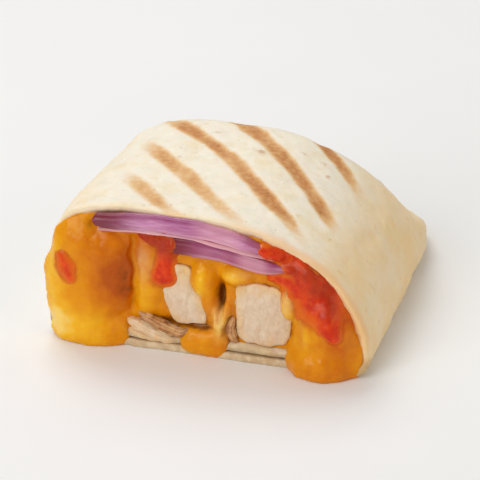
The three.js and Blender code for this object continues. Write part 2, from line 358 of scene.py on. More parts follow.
def sheet_section(place, lift, slit):
    """The sheet's outer face at a station, from its inner flap round to its outer flap."""
    ring = outline(place)
    squeeze = place.half / (WIDTH / 2)
    ramp_top = (OUTER_FLAP_EDGE - slit) * squeeze
    ramp_foot = (OUTER_FLAP_EDGE - RAMP_REACH) * squeeze
    share = np.linspace(0, 1, RAMP_COLUMNS + 1)[:-1]
    ramp = np.stack([ramp_top + (ramp_foot - ramp_top) * share, lift * (1 - smooth(share))], 1)
    flap_x = np.linspace(INNER_FLAP_EDGE * squeeze, ramp_top, FLAP_COLUMNS + 1)[:-1]
    flap = np.stack([flap_x, np.full(FLAP_COLUMNS, lift)], 1)
    under_left = np.arange(len(ring)) < len(ring) // 4
    round_it = ring[~(under_left & (ring[:, 0] > ramp_foot))]
    body = np.concatenate([[[ramp_foot, 0]], round_it, [[OUTER_FLAP_EDGE * squeeze, 0]]])
    return np.concatenate([flap, ramp, evenly(body, np.linspace(0, 1, BODY_COLUMNS + 1))])


def inset_ring(place, distance, count):
    """The section moved inwards by a distance, as a closed ring of count points."""
    ring = evenly(outline(place), np.arange(count) / count)
    along = np.roll(ring, -1, 0) - np.roll(ring, 1, 0)
    along /= np.maximum(1e-9, np.hypot(*along.T))[:, None]
    return ring + np.stack([along[:, 1], -along[:, 0]], 1) * distance


# ---------------------------------------------------------------- tortilla

GRILL_TURN = math.radians(42.7)  # how far the bars lie round from the roll's own direction
GRILL_WIDTH = 4.9
# Where each bar crosses the line square to the bars, and how strongly it marked the sheet.
GRILL_BARS = [(-6.4, 0.98), (6.2, 0.76), (20.6, 0.95), (34.6, 1.0), (51.5, 0.95)]


def scatter(count, *ranges):
    """Rows of random numbers, each from its own range."""
    return [[random.uniform(*limits) for limits in ranges] for _ in range(count)]


# Middle, radius and height: along and up on the side walls, across and along elsewhere.
WALL_BLISTERS = scatter(70, (2, 84), (3, 26), (0.7, 2.2), (0.08, 0.3))
BLISTERS = scatter(130, (-44, 44), (3, 86), (0.8, 2.6), (0.1, 0.45))


def blister_shares(points, sharpness):
    """How much each point belongs to each blister, and the blister's height and browning."""
    x, y, z = points.T
    uneven_u = 0.5 * ripple(points, 2.2, 2, 31.3)
    uneven_v = 0.5 * ripple(points, 2.2, 2, 43.1)
    # One blister in every few is well browned, and the others are pale.
    kinds = [(BLISTERS, x, y, z > 12, 5, 0.2), (WALL_BLISTERS, y, z, np.abs(x) > 26, 4, 0.22)]
    for blisters, u, v, there, every, pale in kinds:
        for index, (middle_u, middle_v, radius, height) in enumerate(blisters):
            away = (u + uneven_u - middle_u) ** 2 + (v + uneven_v - middle_v) ** 2
            browned = pale if index % every else 0.7
            yield there * np.exp(-sharpness * away / radius**2), height, browned


def grill_marks(points):
    """How strongly each point of the roll was branded, from 0 to 1."""
    x, y, z = points.T
    wander = 0.8 * ripple(points, 26, 1, 3.1) + 0.25 * ripple(points, 4, 2, 9.7)
    across = x * math.sin(GRILL_TURN) + y * math.cos(GRILL_TURN) + wander
    width = GRILL_WIDTH * (1 + 0.25 * ripple(points, 12, 2, 15.5))
    bars = np.zeros_like(x)
    for place, strength in GRILL_BARS:
        away = np.abs(across - place)
        bars = np.maximum(bars, strength * (1 - smooth(away - width / 2, -1.6, 1.2)))
    pressed = smooth(z, 30.5, 37) * smooth(x, -33, -22) * (1 - smooth(y, 54, 63))
    # The marks are weaker at the left and towards the cut.
    pressed *= 0.6 + 0.4 * smooth(x + 0.5 * y, -20, -6)
    pressed *= 0.42 + 0.58 * smooth(y + 30 * smooth(-x, 11, 20), 0, 22)
    pressed *= 1 - 0.4 * smooth(x, 3, 12) * (1 - smooth(y, 5, 15))
    patchy = 0.9 + 0.3 * ripple(points, 10, 3, 5.5)
    return np.clip(bars * pressed * patchy, 0, 1)


def sheet_row(v):
    """One row of the sheet across the roll. Past v = 1 it turns over the lip and into the mouth."""
    place = station(min(1, v))
    lift = (SHEET + SEAM) * (1 - smooth(v, FLAP_END, SHEET_MERGED))
    slit = 0.3 * (1 - smooth(v, 0.88, SHEET_MERGED))
    x, z = sheet_section(place, lift, slit).T
    if v <= 1:
        return np.stack([x, np.full_like(x, place.y), z], 1)
    turn = min(1, (v - 1) / LIP_TURN)  # 1 where the lip has turned right round
    deep = max(0, (v - 1 - LIP_TURN) / LIP_TURN)
    keep = (1 + math.cos(math.pi * turn)) / 2
    sideways = np.abs(x) / np.abs(x).max()
    gap = np.maximum(0.08, 0.32 + 0.3 * np.sin(x * 0.19 + 1) + 0.2 * np.sin(x * 0.53))
    gap *= 1 - 0.9 * smooth(sideways, 0.86, 0.98)
    lip = LIP_MIDDLE + 0.5 * np.sin(x * 0.09 + 0.8) + 0.22 * np.sin(x * 0.31)
    height = np.abs(z - lip)
    above = np.sign(z - lip)
    inner = np.minimum(height, gap * (1 - deep))
    new_z = lip + above * (inner + (height - np.minimum(height, gap)) * keep)
    bulge = NOSE * math.sin(math.pi * turn) * np.minimum(1, height / 2.4)
    bulge *= 0.82 + 0.18 * np.sin(x * 0.16 + above)
    # The side walls lie down flat, a sheet's thickness in from the corners.
    laid_down = 0.8 * turn * smooth(sideways, 0.8, 1) * np.minimum(height, 4)
    new_x = x * (1 - 0.085 * turn) - np.sign(x) * laid_down
    return np.stack([new_x, LENGTH + bulge - 7 * deep, new_z], 1)


def sheet_rows():
    """Shares of the length at which the sheet has rows, close at the cut rim and the lip."""
    rim = [0, 0.004, 0.009, 0.015]
    body = np.linspace(0.024, 1, 104)[:-1]
    lip = 1 + np.linspace(0, LIP_TURN, 9)
    mouth = [1.08, 1.1, 1.12]
    return np.concatenate([rim, body, lip, mouth])


def model_tortilla():
    """The sheet: its outer face row by row, made thick afterwards."""
    rows = sheet_rows()
    columns = FLAP_COLUMNS + RAMP_COLUMNS + BODY_COLUMNS
    piece = add_grid("tortilla_wrap", columns, len(rows) - 1)
    column, row = grid_places(raw_points(piece), columns, len(rows) - 1)
    set_points(piece, np.array([sheet_row(v) for v in rows])[row, column])
    # The inner flap is left out where the end is pressed flat, and there the two edges of the
    # sheet run into each other.
    delete_points(piece, (column < FLAP_COLUMNS) & (rows[row] > FLAP_END))
    with editing(piece):
        bpy.ops.mesh.remove_doubles(threshold=MERGE_METRES)
    points = get_points(piece)
    if get_normals(piece)[points[:, 2] > CUT_CROWN - 2][:, 2].mean() < 0:
        with editing(piece):
            bpy.ops.mesh.flip_normals()
    set_points(piece, relief(points, get_normals(piece)))
    apply_modifier(piece, "SOLIDIFY", thickness=SHEET * MM, offset=-1, use_quality_normals=True)
    round_the_rim(piece)

    # The cut rim is a little ragged, and the bottom layers stand a little further out.
    points = get_points(piece)
    points[:, 2] = np.maximum(points[:, 2], 0)
    x, y, z = points.T
    near = 1 - smooth(y, 0, 3)
    y += near * (0.45 * ripple(points, (7, 50, 7), 2, 2.2) + 0.2 * ripple(points, 1.1, 2, 4.4))
    y -= near * 1.1 * (1 - smooth(z, 3.8, 5.6)) * smooth(x, -34, -24)
    set_points(piece, points)
    # Warm beige on the side walls and far end: on the right wall partly painted shade and warm
    # bounce light, partly toasting.
    right_side = smooth(x, 24, 38) * smooth(z, 44, 30)
    elsewhere = 0.5 * smooth(-x, 30, 42) + 0.45 * smooth(y, 50, 84)
    paint(
        piece,
        grill=grill_marks(points),
        toast=toasted(points),
        rim=1 - smooth(y, 0.2, 1.6),
        stain=stained(points),
        side=np.maximum(right_side, elsewhere),
        # The bottom layers at the cut are darker: partly soaked, partly painted shade.
        soak=(1 - smooth(y, 0.5, 4)) * (1 - smooth(z, 4.2, 6.5)),
    )
    return piece


def round_the_rim(piece):
    """Swells the cut rim of the sheet a little, between its two edges."""
    faces = piece.data.polygons
    centres = from_frame(read_vectors(faces, "center"))
    on_rim = (centres[:, 1] < 0.05) & (read_vectors(faces, "normal")[:, 1] < -0.8)
    with editing_only(piece, "FACE", faces, on_rim):
        for depth in (0.22, 0.06):
            bpy.ops.mesh.inset(thickness=0.35 * MM, depth=depth * MM)


def relief(points, normals):
    """Bulges, blisters and branded grooves of the sheet's outer face."""
    x, y, z = points.T
    free = smooth(z, 0.3, 3.5)
    wall = smooth(np.abs(x), 26, 36) * smooth(y, 1, 8)
    lift = 0.55 * ripple(points, 22, 2, 1.3) + 0.16 * ripple(points, 5, 2, 7.1)
    lift += wall * 0.55 * ripple(points, (20, 17, 12), 2, 3.7)
    lift += wall * 0.22 * ripple(points, (9, 22, 4), 2, 9.4) + 0.06 * ripple(points, 1.8, 2, 8.8)
    creases = smooth(y, LENGTH * 0.6, LENGTH * 0.95) * (1 - smooth(y, LENGTH * 0.97, LENGTH))
    lift += creases * 0.7 * ripple(points, (6.5, 30, 60), 2, 6.2)
    slanted = np.stack([x + 0.35 * np.sign(x) * (y - LENGTH), y, z], 1)
    lift -= creases * 0.6 * thin_lines(ripple(slanted, (13, 70, 90), 1, 2.7), 0.07)
    for share, height, _ in blister_shares(points, 2.2):
        lift += height * share
    lift -= 0.4 * grill_marks(points)
    lift -= 0.45 * (1 - smooth(y, 0, 1.3))
    return points + normals * (lift * free)[:, None]


def toasted(points):
    """Light browning: on blisters, and in soft patches on the pressed top."""
    pressed = smooth(points[:, 2], 25, 38)
    brown = 0.3 * smooth(ripple(points, 11, 3, 12.5), 0.05, 0.6) * pressed
    for share, _, browned in blister_shares(points, 4):
        brown += browned * share
    return brown


def stained(points):
    """Where hot sauce has soaked into the rim."""
    x, y, z = points.T
    near = 1 - smooth(y, 0.3, 3.4 + 2 * ripple(points, 6, 2, 3.3))
    left = (1 - smooth(x, -41, -38)) * (1 - smooth(y, 0.4, 2.5))
    left *= smooth(z, 20, 25) * (1 - smooth(z, 30, 34))
    return near * smooth(x, 0, 26) * smooth(z, 6, 14) * 0.62 + left


# ---------------------------------------------------------------- melted cheese

MELT_LEVEL = -0.5
MELT_RUNS = [
    # middle x and z, half width, half height, depth in front of the cut
    (-37, 20, 9.6, 17.2, 4.2),
    (-35.5, 11, 10.4, 12, 4.4),
    (-29.8, 20, 9.4, 13.5, 3.4),
    (-33, 2.4, 12, 6.8, 4.9),
    (-3.0, 3.8, 5.6, 5.0, 2.1),
    (2.0, 3.4, 4.8, 5.0, 1.9),
    (33, 10.5, 9, 13, 5.3),
    (32, 2.4, 10.4, 7.6, 7.4),
    # smaller ones that only the looks have
    (-17.4, 20, 4.4, 10.5, 1.2),
    (-1.0, 22.8, 3.9, 5.2, 2.2),
    (0.4, 17.5, 2.3, 5.0, 1.0),
    (8, 25.2, 4.8, 3.0, 2.6),
    (27.5, 24, 6, 8, 1.8),
    (23.0, 18.8, 2.8, 5.2, 2.6),
    (40.5, 4.2, 3.2, 6, 1.7),
    (26, 6, 3.4, 5, 2.0),
    (5.6, 14.6, 1.1, 2.6, 1.9),
    (4.8, 11.8, 1.1, 2.6, 2.3),
    (3.8, 8.8, 1.1, 2.6, 2.2),
    (2.7, 12.4, 1.0, 2.8, 2.0),
    (2.4, 9.0, 0.9, 2.4, 1.8),
]
MELT_SOFTNESS = 0.8


def melt_depth(x, z):
    """How far the cheese stands in front of the cut face."""
    total = np.zeros_like(x)
    for middle_x, middle_z, wide, high, deep in MELT_RUNS:
        away = np.hypot((x - middle_x) / wide, (z - middle_z) / high)
        depth = np.maximum(MELT_LEVEL, deep * (1 - away**2.6))
        total += np.exp(depth / MELT_SOFTNESS)
    resting = (len(MELT_RUNS) - 1) * math.exp(MELT_LEVEL / MELT_SOFTNESS)
    return MELT_SOFTNESS * np.log(total - resting)


def mass_edge(z):
    """Where the big mass at the left ends, at a height z."""
    return -21.6 + 0.5 * np.sin(z * 0.34 + 1.0) + 0.25 * np.sin(z * 0.9)


def spot(x, z, middle_x, middle_z, wide, high):
    """1 in the middle of a soft spot, falling to 0 around it."""
    return np.exp(-(((x - middle_x) / wide) ** 2 + ((z - middle_z) / high) ** 2))


def spots(x, z, table):
    """The sum of the soft spots of a table, each as much as its first number says."""
    return sum(amount * spot(x, z, *place) for amount, *place in table)


# Tables of soft spots on the cut face: how much, middle x and z, half width and half height.
POCKETS = [  # dimples, by their depth
    (4, 3.7, 18.0, 0.95, 4.6),
    (1.5, -12, 7, 9, 2.4),
    (1.1, -2.5, 8.2, 6, 1.1),
    (2.6, -45, 29.5, 2.0, 5),
]


def melt_surface(x, z):
    """How far it stands in front, with the folds and dimples of cheese that has run and set."""
    points = np.stack([x, np.zeros_like(x), z], 1)
    depth = melt_depth(x, z)
    folds = 0.8 * ripple(points, (8, 1, 18), 2, 25.5) + 0.45 * ripple(points, (3, 1, 9), 2, 4.9)
    pocket = spots(x, z, POCKETS)
    # The cheese draws back from the sheet at the right.
    drawn_back = smooth(x, 22, 30) * smooth(z, 9, 16) * (1 - smooth(z, 20, 25))
    pocket += 4 * drawn_back * (1 - smooth(room_inside(x, z, SHEET), 0.1, 1.7))
    # The big mass ends in a sharp edge, with a groove beside it.
    beyond = x - mass_edge(z)
    groove = smooth(beyond, -0.3, 0.5) * (1 - smooth(beyond, 0.6, 3.6))
    pocket += 1.7 * groove * smooth(z, 8, 13) * (1 - smooth(z, 31, 34))
    return depth + folds * smooth(depth, -2, 3) - pocket


def boolean(piece, other, operation):
    """Joins a piece with another or cuts it by it, and removes the other."""
    apply_modifier(piece, "BOOLEAN", operation=operation, object=other, solver="EXACT")
    bpy.data.objects.remove(other)


def lofted_plug(name, stations, distance, floor, front=None):
    """A closed solid that fills the roll between the first and the last station."""
    piece = add_grid(name, PLUG_COLUMNS, len(stations) - 1)
    column, row = grid_places(raw_points(piece), PLUG_COLUMNS, len(stations) - 1)
    rings = []
    for index, v in enumerate(stations):
        x, z = inset_ring(station(v), distance, PLUG_COLUMNS).T
        y = front if front is not None and index == 0 else LENGTH * v
        rings.append(np.stack([x, np.full_like(x, y), np.maximum(floor, z)], 1))
    set_points(piece, np.array(rings)[row, column % PLUG_COLUMNS])
    with editing(piece):
        bpy.ops.mesh.select_mode(type="VERT")
        bpy.ops.mesh.select_all(action="SELECT")
        bpy.ops.mesh.remove_doubles(threshold=MERGE_METRES)
        bpy.ops.mesh.select_all(action="DESELECT")
        bpy.ops.mesh.select_non_manifold()
        bpy.ops.mesh.fill_holes(sides=0)
        bpy.ops.mesh.select_all(action="SELECT")
        bpy.ops.mesh.normals_make_consistent(inside=False)
    return piece


def add_box(name, low, high):
    """A box between two corners."""
    piece = add_block(name)
    low, high = np.array(low, float), np.array(high, float)
    set_points(piece, (low + high) / 2 + raw_points(piece) * (high - low) / 2)
    return piece


def model_cheese():
    """The cheese that shows at the cut: a deep relief, trimmed to the room inside the sheet."""
    left, right, top = -47, 46, 41
    piece = add_grid("melted_cheese", *CHEESE_GRID)
    flat = raw_points(piece)
    x = left + (right - left) * flat[:, 0]
    z = top * flat[:, 1]
    set_points(piece, x, -melt_surface(x, z), z)
    with editing(piece):
        extrude(0, 30 * MM, 0)
    points = get_points(piece)
    points[:, 1] = np.where(points[:, 1] > 15, 8, points[:, 1])
    set_points(piece, points)
    face_outwards(piece)

    opening = lofted_plug("opening", [0, 0.05, 0.12], SHEET - 0.1, FLOOR, front=-16)
    ahead = add_box("ahead", (-60, -16, -1), (60, -0.25, 60))
    boolean(opening, ahead, "UNION")
    boolean(piece, opening, "INTERSECT")
    remesh(piece, CHEESE_VOXEL, 4)
    points = get_points(piece)
    lift = 0.12 * ripple(points, 2.2, 3, 2.9) + 0.05 * ripple(points, 0.8, 2, 7.9)
    points += get_normals(piece) * lift[:, None]
    points[:, 2] = np.maximum(points[:, 2], 0)
    set_points(piece, points)
    paint(
        piece,
        tone=cheese_tone(points),
        sauce=cheese_sauce(points),
        scorch=cheese_scorch(points),
        cream=cheese_cream(points),
    )
    return piece


# Paler where the amount is above 0 and deeper amber where it is below.
# The narrow pale streaks and the pale left edge and foot of the big mass are partly painted
# highlights.
TONE_SPOTS = [
    (0.4, -38, 5, 9, 6),
    (0.35, -43, 18, 4, 16),
    (0.1, -35, 35, 4, 3),
    (0.3, -18, 16, 3.5, 6),
    (-0.3, -18.4, 28, 3, 4),
    (0.16, -0.5, 21, 5, 6),
    (0.2, 8, 26, 5, 3),
    (0.4, 23, 18, 2, 4),
    (0.3, -1.2, 23.6, 1.1, 3.4),
    (0.34, -2.2, 18.5, 1.0, 3.6),
    (0.25, 7.4, 25.6, 2.2, 1.1),
    (0.25, 28.4, 11.5, 1.2, 4.5),
    (0.5, 3.9, 11.4, 2.3, 4.4),
    (0.06, -1, 3.5, 7, 5),
    (0.12, 28, 12, 4, 6),
    (-0.1, 33, 2, 8, 4),
    (-0.2, 38.5, 10, 3.5, 8),
]

CREAM_SPOTS = [
    (0.9, 3.9, 11.4, 2.2, 4.2),
    (0.5, -17.8, 25.5, 2.2, 4.5),
    (0.6, 22.4, 19.5, 1.8, 4.5),
    (0.3, 10, 26.4, 3, 1.4),
]

MIXED_SAUCE = [
    (0.6, -14, 33, 8, 2.6),
    (0.9, 32, 26, 8, 8),
    (0.5, 37, 14, 4, 7),
    (0.12, -25, 24, 5, 9),
    (-0.6, 1, 20, 8, 7),
    (-0.5, -1, 4, 8, 6),
    (-0.5, 22.6, 18, 2.4, 5),
]

# Painted shade in the gap, in the grooves and round the onion's end; low down partly browned
# cheese.
SHADE_AND_SCORCH_SPOTS = [
    (1.2, 3.7, 18.0, 1.3, 4.8),
    (0.9, -11, 8.2, 9, 1.8),
    (0.8, 6.4, 8, 1.0, 6),
    (0.75, -3, 8.1, 6, 0.9),
    (0.5, -32.4, 35.0, 1.5, 2.8),
    (0.4, -14.5, 32.6, 7, 1.6),
]


def cheese_tone(points):
    """0 where the cheese is deep amber, 1 where it is pale yellow, with painted shade and painted
    highlights in it.
    """
    x, _, z = points.T
    tone = 0.5 + 0.1 * ripple(points, (9, 8, 14), 2, 14.2) + spots(x, z, TONE_SPOTS)
    # Painted shade on the right of the big mass, where its face turns away from the light.
    within = 1 - smooth(x - mass_edge(z), -0.2, 0.6)
    shadow = np.exp(-(((z - 20) / 8.5) ** 2))
    return tone - 0.65 * smooth(x + 0.2 * (z - 20), -35, -23) * within * shadow


def cheese_cream(points):
    """Where the cheese is milky: in the strands beside the gap and in a few thin places."""
    x, _, z = points.T
    return spots(x, z, CREAM_SPOTS) * (1 + 0.5 * ripple(points, (1.6, 3, 4), 2, 3.4))


def cheese_sauce(points):
    """How much hot sauce is mixed into the cheese."""
    x, _, z = points.T
    mixed = 0.1 + 0.18 * ripple(points, 6, 2, 19.4) + spots(x, z, MIXED_SAUCE)
    return np.maximum(mixed, 0.85 * near_sauce(x, z))


def cheese_scorch(points):
    """Where the cheese is dark brown, mostly painted shade: in the gap beside the strips, in
    grooves and along the floor.
    """
    x, _, z = points.T
    # Painted shade on the right of the big mass, where it turns away from the light.
    within = 1 - smooth(x - mass_edge(z), 0.2, 1.0)
    scorch = spots(x, z, SHADE_AND_SCORCH_SPOTS) + 0.62 * spot(x, z, -22.4, 20, 4.0, 7.5) * within
    # Painted shade beside the sheet, where the cheese draws back from it.
    beside_wall = 1 - smooth(room_inside(x, z, SHEET), 0.2, 2.4)
    scorch += 0.5 * beside_wall * smooth(x, 20, 28) * smooth(z, 9, 16)
    return scorch * (1 + 0.5 * ripple(points, 2.5, 2, 6.6))


def model_cheese_core():
    """The rest of the filling, back to the folded end."""
    stations = [0.07, 0.16, 0.3, 0.44, 0.52, *np.linspace(0.56, FILLING_END, 14)]
    piece = lofted_plug("cheese_core", stations, SHEET + 0.25, FLOOR + 0.3)
    paint(piece, tone=0.5, sauce=0.3, scorch=0.4, cream=0)
    return piece


# ---------------------------------------------------------------- chicken

CHICKEN_STRIPS = {
    # Corners of the cut end (x, z), its place along the roll, the strip's length, and where melted
    # cheese tints it, as a table of soft spots.
    "chicken_left": dict(
        corners=[
            (-12.8, 26.2), (-4.4, 27), (-2.8, 20.5), (0.2, 14), (0.4, 8.8), (-5, 7.8), (-10.4, 9),
            (-12.8, 15.5),
        ],
        front=-0.7,
        length=58,
        melted=[
            (0.6, -1.6, 18, 1.6, 5),
            (0.5, -3.5, 26.4, 2.5, 1.6),
            (0.4, -12.4, 12, 1.5, 3),
            (0.35, -7, 24.5, 4.5, 4.5),
        ],
    ),
    "chicken_right": dict(
        corners=[
            (7.6, 23), (15, 24.4), (21.2, 23), (24.4, 16.5), (23.4, 6.2), (16, 4.6), (8.2, 5.4),
            (7.4, 14),
        ],
        front=-0.9,
        length=54,
        melted=[
            (0.6, 8.8, 21.5, 2.2, 2.6),
            (0.35, 9, 13, 1.3, 4),
            (0.5, 20.5, 22.6, 3, 1.5),
            (0.2, 23.8, 12, 0.9, 4),
        ],
    ),
}


def reach_round(corners, middle, angle):
    """How far a rounded outline lies from its middle, in the given directions."""
    shares = np.linspace(0, 1, 361)[:-1]
    path = evenly(np.array([*corners, corners[0]], float), shares) - middle
    turn = np.arctan2(path[:, 1], path[:, 0])
    order = np.argsort(turn)
    even = math.pi * (2 * shares - 1)
    far = np.interp(even, turn[order], np.hypot(*path[order].T), period=2 * math.pi)
    window = np.hanning(41)
    padded = np.concatenate([far[-20:], far, far[:20]])
    rounded = np.convolve(padded, window / window.sum(), mode="valid")
    return np.interp(angle, even, rounded, period=2 * math.pi)


def model_chicken(name, corners, front, length, melted):
    """A strip of chicken that narrows and wanders a little along the roll."""
    piece = add_block(name + "_strip", 22)
    a, b, c = raw_points(piece).T
    middle = middle_x, middle_z = np.mean(corners, axis=0)
    v = (b + 1) / 2
    size = 1 - 0.12 * v - 0.45 * np.maximum(0, (v - 0.8) / 0.2) ** 2
    size *= 1 - 0.07 * np.exp(-v * length)
    angle = np.arctan2(c, a)
    reach = np.maximum(np.abs(a), np.abs(c)) * reach_round(corners, middle, angle) * size
    dx = reach * np.cos(angle)
    dz = reach * np.sin(angle) * (1 - 0.12 * v)
    tilt = 0.12 * np.sin(3 * v)
    px = middle_x - 1.5 * np.sin(4 * v) + dx * np.cos(tilt) - dz * np.sin(tilt)
    pz = middle_z - 2.5 * v + dx * np.sin(tilt) + dz * np.cos(tilt)
    # The cut end bulges a little, as cooked meat does.
    bulge = 0.8 * (1 - np.clip(np.hypot(a, c), 0, 1) ** 2) * (1 - smooth(v, 0, 0.1))
    set_points(piece, px, front + length * v - bulge + 0.5, pz)
    face_outwards(piece)
    remesh(piece, CHICKEN_VOXEL, 16)
    points = get_points(piece)
    normals = get_normals(piece)
    cut_face = smooth(-normals[:, 1], 0.3, 0.8)
    fibre = ripple(points, (1.3, 7, 2.2), 3, 5.1)
    bundle = ripple(points, (4.5, 20, 8), 2, 8.3)
    crack = thin_lines(ripple(points, (5, 14, 11), 2, 17.3), 0.05)
    lift = 0.03 * fibre + 0.8 * bundle * (1 - 0.3 * cut_face) + 0.04 * ripple(points, 1.4, 2, 3.9)
    lift += 0.45 * (1 - cut_face) * ripple(points, (2.0, 14, 2.0), 2, 4.4)
    lift -= 0.16 * crack * cut_face
    points += normals * lift[:, None]
    points[:, 2] = np.maximum(points[:, 2], FLOOR)
    set_points(piece, points)
    x, _, z = points.T
    across, up = x - middle_x, z - middle_z
    rim = np.hypot(across, up) / reach_round(corners, middle, np.arctan2(up, across))
    browned = smooth(rim + 0.2 * bundle, 0.96, 1.2)
    paint(
        piece,
        sear=(1 - cut_face) * 0.8 + smooth(-up, 7.0, 9.5) * 0.25 + browned * 0.6,
        edge=smooth(rim + 0.35 * bundle, 0.6, 1.05),
        fibre=0.5 + 0.4 * fibre,
        coat=spots(x, z, melted) * (1 + 0.6 * ripple(points, (2, 4, 3), 2, 6.8)),
        crack=crack,
    )
    return piece


# ---------------------------------------------------------------- onion

ONION_SLICES = {
    # Each layer: points along its cut edge (x, z, thickness), then how it lies further back.
    "onion_upper": [
        dict(
            edge=[
                (-31.4, 36.9, 3.6), (-24, 37.4, 4.8), (-8, 38.4, 4.9), (4, 37.2, 4.7),
                (13, 35, 3.1), (21, 33.2, 0.8),
            ],
            drop=SHEET + 1.05,
            thick=3.5,
            front=-2.6,
            reach=0.52,
        ),
        dict(
            edge=[
                (-30, 34.3, 0.8), (-16, 35.5, 1.2), (-5, 35.3, 1.2), (5, 34.0, 1.2),
                (13, 32.7, 1.2), (19, 32.3, 0.6),
            ],
            drop=SHEET + 4.85,
            thick=1.0,
            front=-2.2,
            reach=0.3,
        ),
    ],
    "onion_lower": [
        dict(
            edge=[
                (-10, 32.3, 4.4), (-4, 32.2, 4.9), (4, 31.6, 4.7), (13, 30.0, 4.3),
                (19, 29.5, 3.0), (24, 29.8, 0.8),
            ],
            drop=7.6,
            thick=3.7,
            front=-1.9,
            reach=0.48,
        ),
    ],
}

ONION_LAYERS = [0, 0.05, 0.2, 0.5, 0.9, 1.3, 1.7, 2.1, 2.6, 3.4, 4.6, 6.5, 9, 13, 18, 24, 31, 38]


def through(x, places, values):
    """A smooth curve through a few given values."""
    knots = np.asarray(places, float)
    heights = np.asarray(values, float)
    slopes = np.gradient(heights, knots)
    index = np.clip(np.searchsorted(knots, x) - 1, 0, len(knots) - 2)
    gap = knots[index + 1] - knots[index]
    t = np.clip((x - knots[index]) / gap, 0, 1)
    start = (1 + 2 * t) * (1 - t) ** 2 * heights[index] + t * (1 - t) ** 2 * gap * slopes[index]
    end = t * t * (3 - 2 * t) * heights[index + 1] + t * t * (t - 1) * gap * slopes[index + 1]
    return start + end


def roof_over(x, y):
    """Height of the roll's outer face over points given by x and y."""
    rows = np.linspace(0, 0.6, 13)
    roofs = np.array([roof_height(x, station(row)) for row in rows])
    which = np.clip(y / LENGTH / 0.6 * 12, 0, 11.999)
    low = which.astype(int)
    column = np.arange(len(x))
    return roofs[low, column] + (roofs[low + 1, column] - roofs[low, column]) * (which - low)


def model_onion_layer(name, edge, drop, thick, front, reach):
    """One layer of a slice: its drawn edge at the cut, then under the sheet behind it."""
    piece = add_slab(name, *ONION_GRID, len(ONION_LAYERS) - 1)
    share, up, step = raw_points(piece).T
    step = np.rint(step).astype(int)
    deepest = LENGTH * reach - front
    depth = np.array(ONION_LAYERS)[step] * deepest / ONION_LAYERS[-1]
    depth = np.where(step < 9, np.array(ONION_LAYERS)[step], depth)
    knots, heights, widths = (np.array(column, float) for column in zip(*edge))
    x = knots[0] + (knots[-1] - knots[0]) * share
    y = front + depth
    flat = np.stack([x, y * 0.2, np.zeros_like(x)], 1)
    wave = 0.35 * ripple(flat, (9, 30, 1), 2, drop)
    middle_front = through(x, knots, heights) + 0.5 * wave
    thick_front = through(x, knots, widths) * (1 + 0.12 * ripple(flat, (6, 25, 1), 2, drop + 4))
    thick_front *= np.sqrt(np.clip(1 - (1 - np.minimum(1, share / 0.025)) ** 2, 0.04, 1))
    roof = roof_over(x, np.maximum(0, y))
    middle_back = roof - drop - thick / 2 + wave
    ends = np.sqrt(np.maximum(0.02, 1 - np.abs(2 * share - 1) ** 9))
    back = smooth(y, 0.0, 8)
    middle = middle_front + (middle_back - middle_front) * back
    thickness = thick_front + (thick * ends - thick_front) * back
    rounding = 1 - 0.3 * np.exp(-depth / 0.12) - 0.3 * smooth(depth / deepest, 0.93, 1)
    top = middle + thickness / 2 * rounding
    bottom = middle - thickness / 2 * rounding
    # Behind the cut rim the slice has to pass under the sheet.
    ceiling = roof - SHEET - 0.15 + 4 * smooth(-y, 0.35, 0.9)
    over = np.maximum(0, top - ceiling)
    top -= over
    bottom -= over * 0.5
    z = bottom + (top - bottom) * up
    y = y + 0.5 * ripple(flat, (6, 1, 3), 1, drop + 1) * np.exp(-depth / 4)
    y += 0.25 * np.cos(math.pi * (2 * up - 1)) * -np.exp(-depth / 0.8)
    set_points(piece, x, y, z)
    face_outwards(piece, merge=False)
    smooth_out(piece, 5)
    paint(piece, skin=up, along=share)
    return piece


def model_onion(name, layers):
    """A slice of onion out of its layers."""
    made = [model_onion_layer(f"{name}_{index}", **layer) for index, layer in enumerate(layers)]
    for index, layer in enumerate(made):
        paint(layer, pale=index, deep=name == "onion_lower")
    if len(made) > 1:
        return join(name + "_slice", made)
    made[0].name = made[0].data.name = name + "_slice"
    return made[0]


# ---------------------------------------------------------------- hot sauce

SAUCE_RUNS = [
    # points of a run (x, z, half width), its thickness and the depth of its colour
    ([(-18.5, 32.8, 1.0), (-14.5, 32.7, 2.4), (-9.5, 32.8, 1.6)], 0.6, 0.9),
    ([(-11.8, 32.4, 2.8), (-11.4, 28.4, 2.4), (-11.7, 25.2, 2.7), (-11.8, 22.6, 3.7)], 1.4, 1.0),
    ([(-39.6, 25.2, 2.0), (-38.6, 22.8, 2.8), (-37.8, 20.6, 2.2)], 0.4, 0.45),
    (
        [
            (16.5, 34.6, 1.3), (24, 32.6, 3.2), (28.8, 27.8, 6.4), (31.2, 22.9, 6.8),
            (35, 17.8, 4), (37, 13.2, 1.9),
        ],
        0.7,
        1.0,
    ),
    ([(17.8, 25.8, 1.2), (22.5, 25.4, 2.4), (27, 24, 3.2)], 0.7, 0.8),
]


def run_share(x, z, path):
    """1 along the middle of a run of sauce, 0 on its edge, below zero outside it."""
    best = np.full_like(x, -9.0)
    for (ax, az, ar), (bx, bz, br) in zip(path, path[1:]):
        length = (bx - ax) ** 2 + (bz - az) ** 2
        share = np.clip(((x - ax) * (bx - ax) + (z - az) * (bz - az)) / length, 0, 1)
        away = np.hypot(x - ax - share * (bx - ax), z - az - share * (bz - az))
        best = np.maximum(best, 1 - away / (ar + share * (br - ar)))
    return best


def near_sauce(x, z):
    """1 under a run of sauce, fading to 0 around it."""
    return smooth(np.max([run_share(x, z, path) for path, *_ in SAUCE_RUNS], axis=0), -0.75, 0.15)


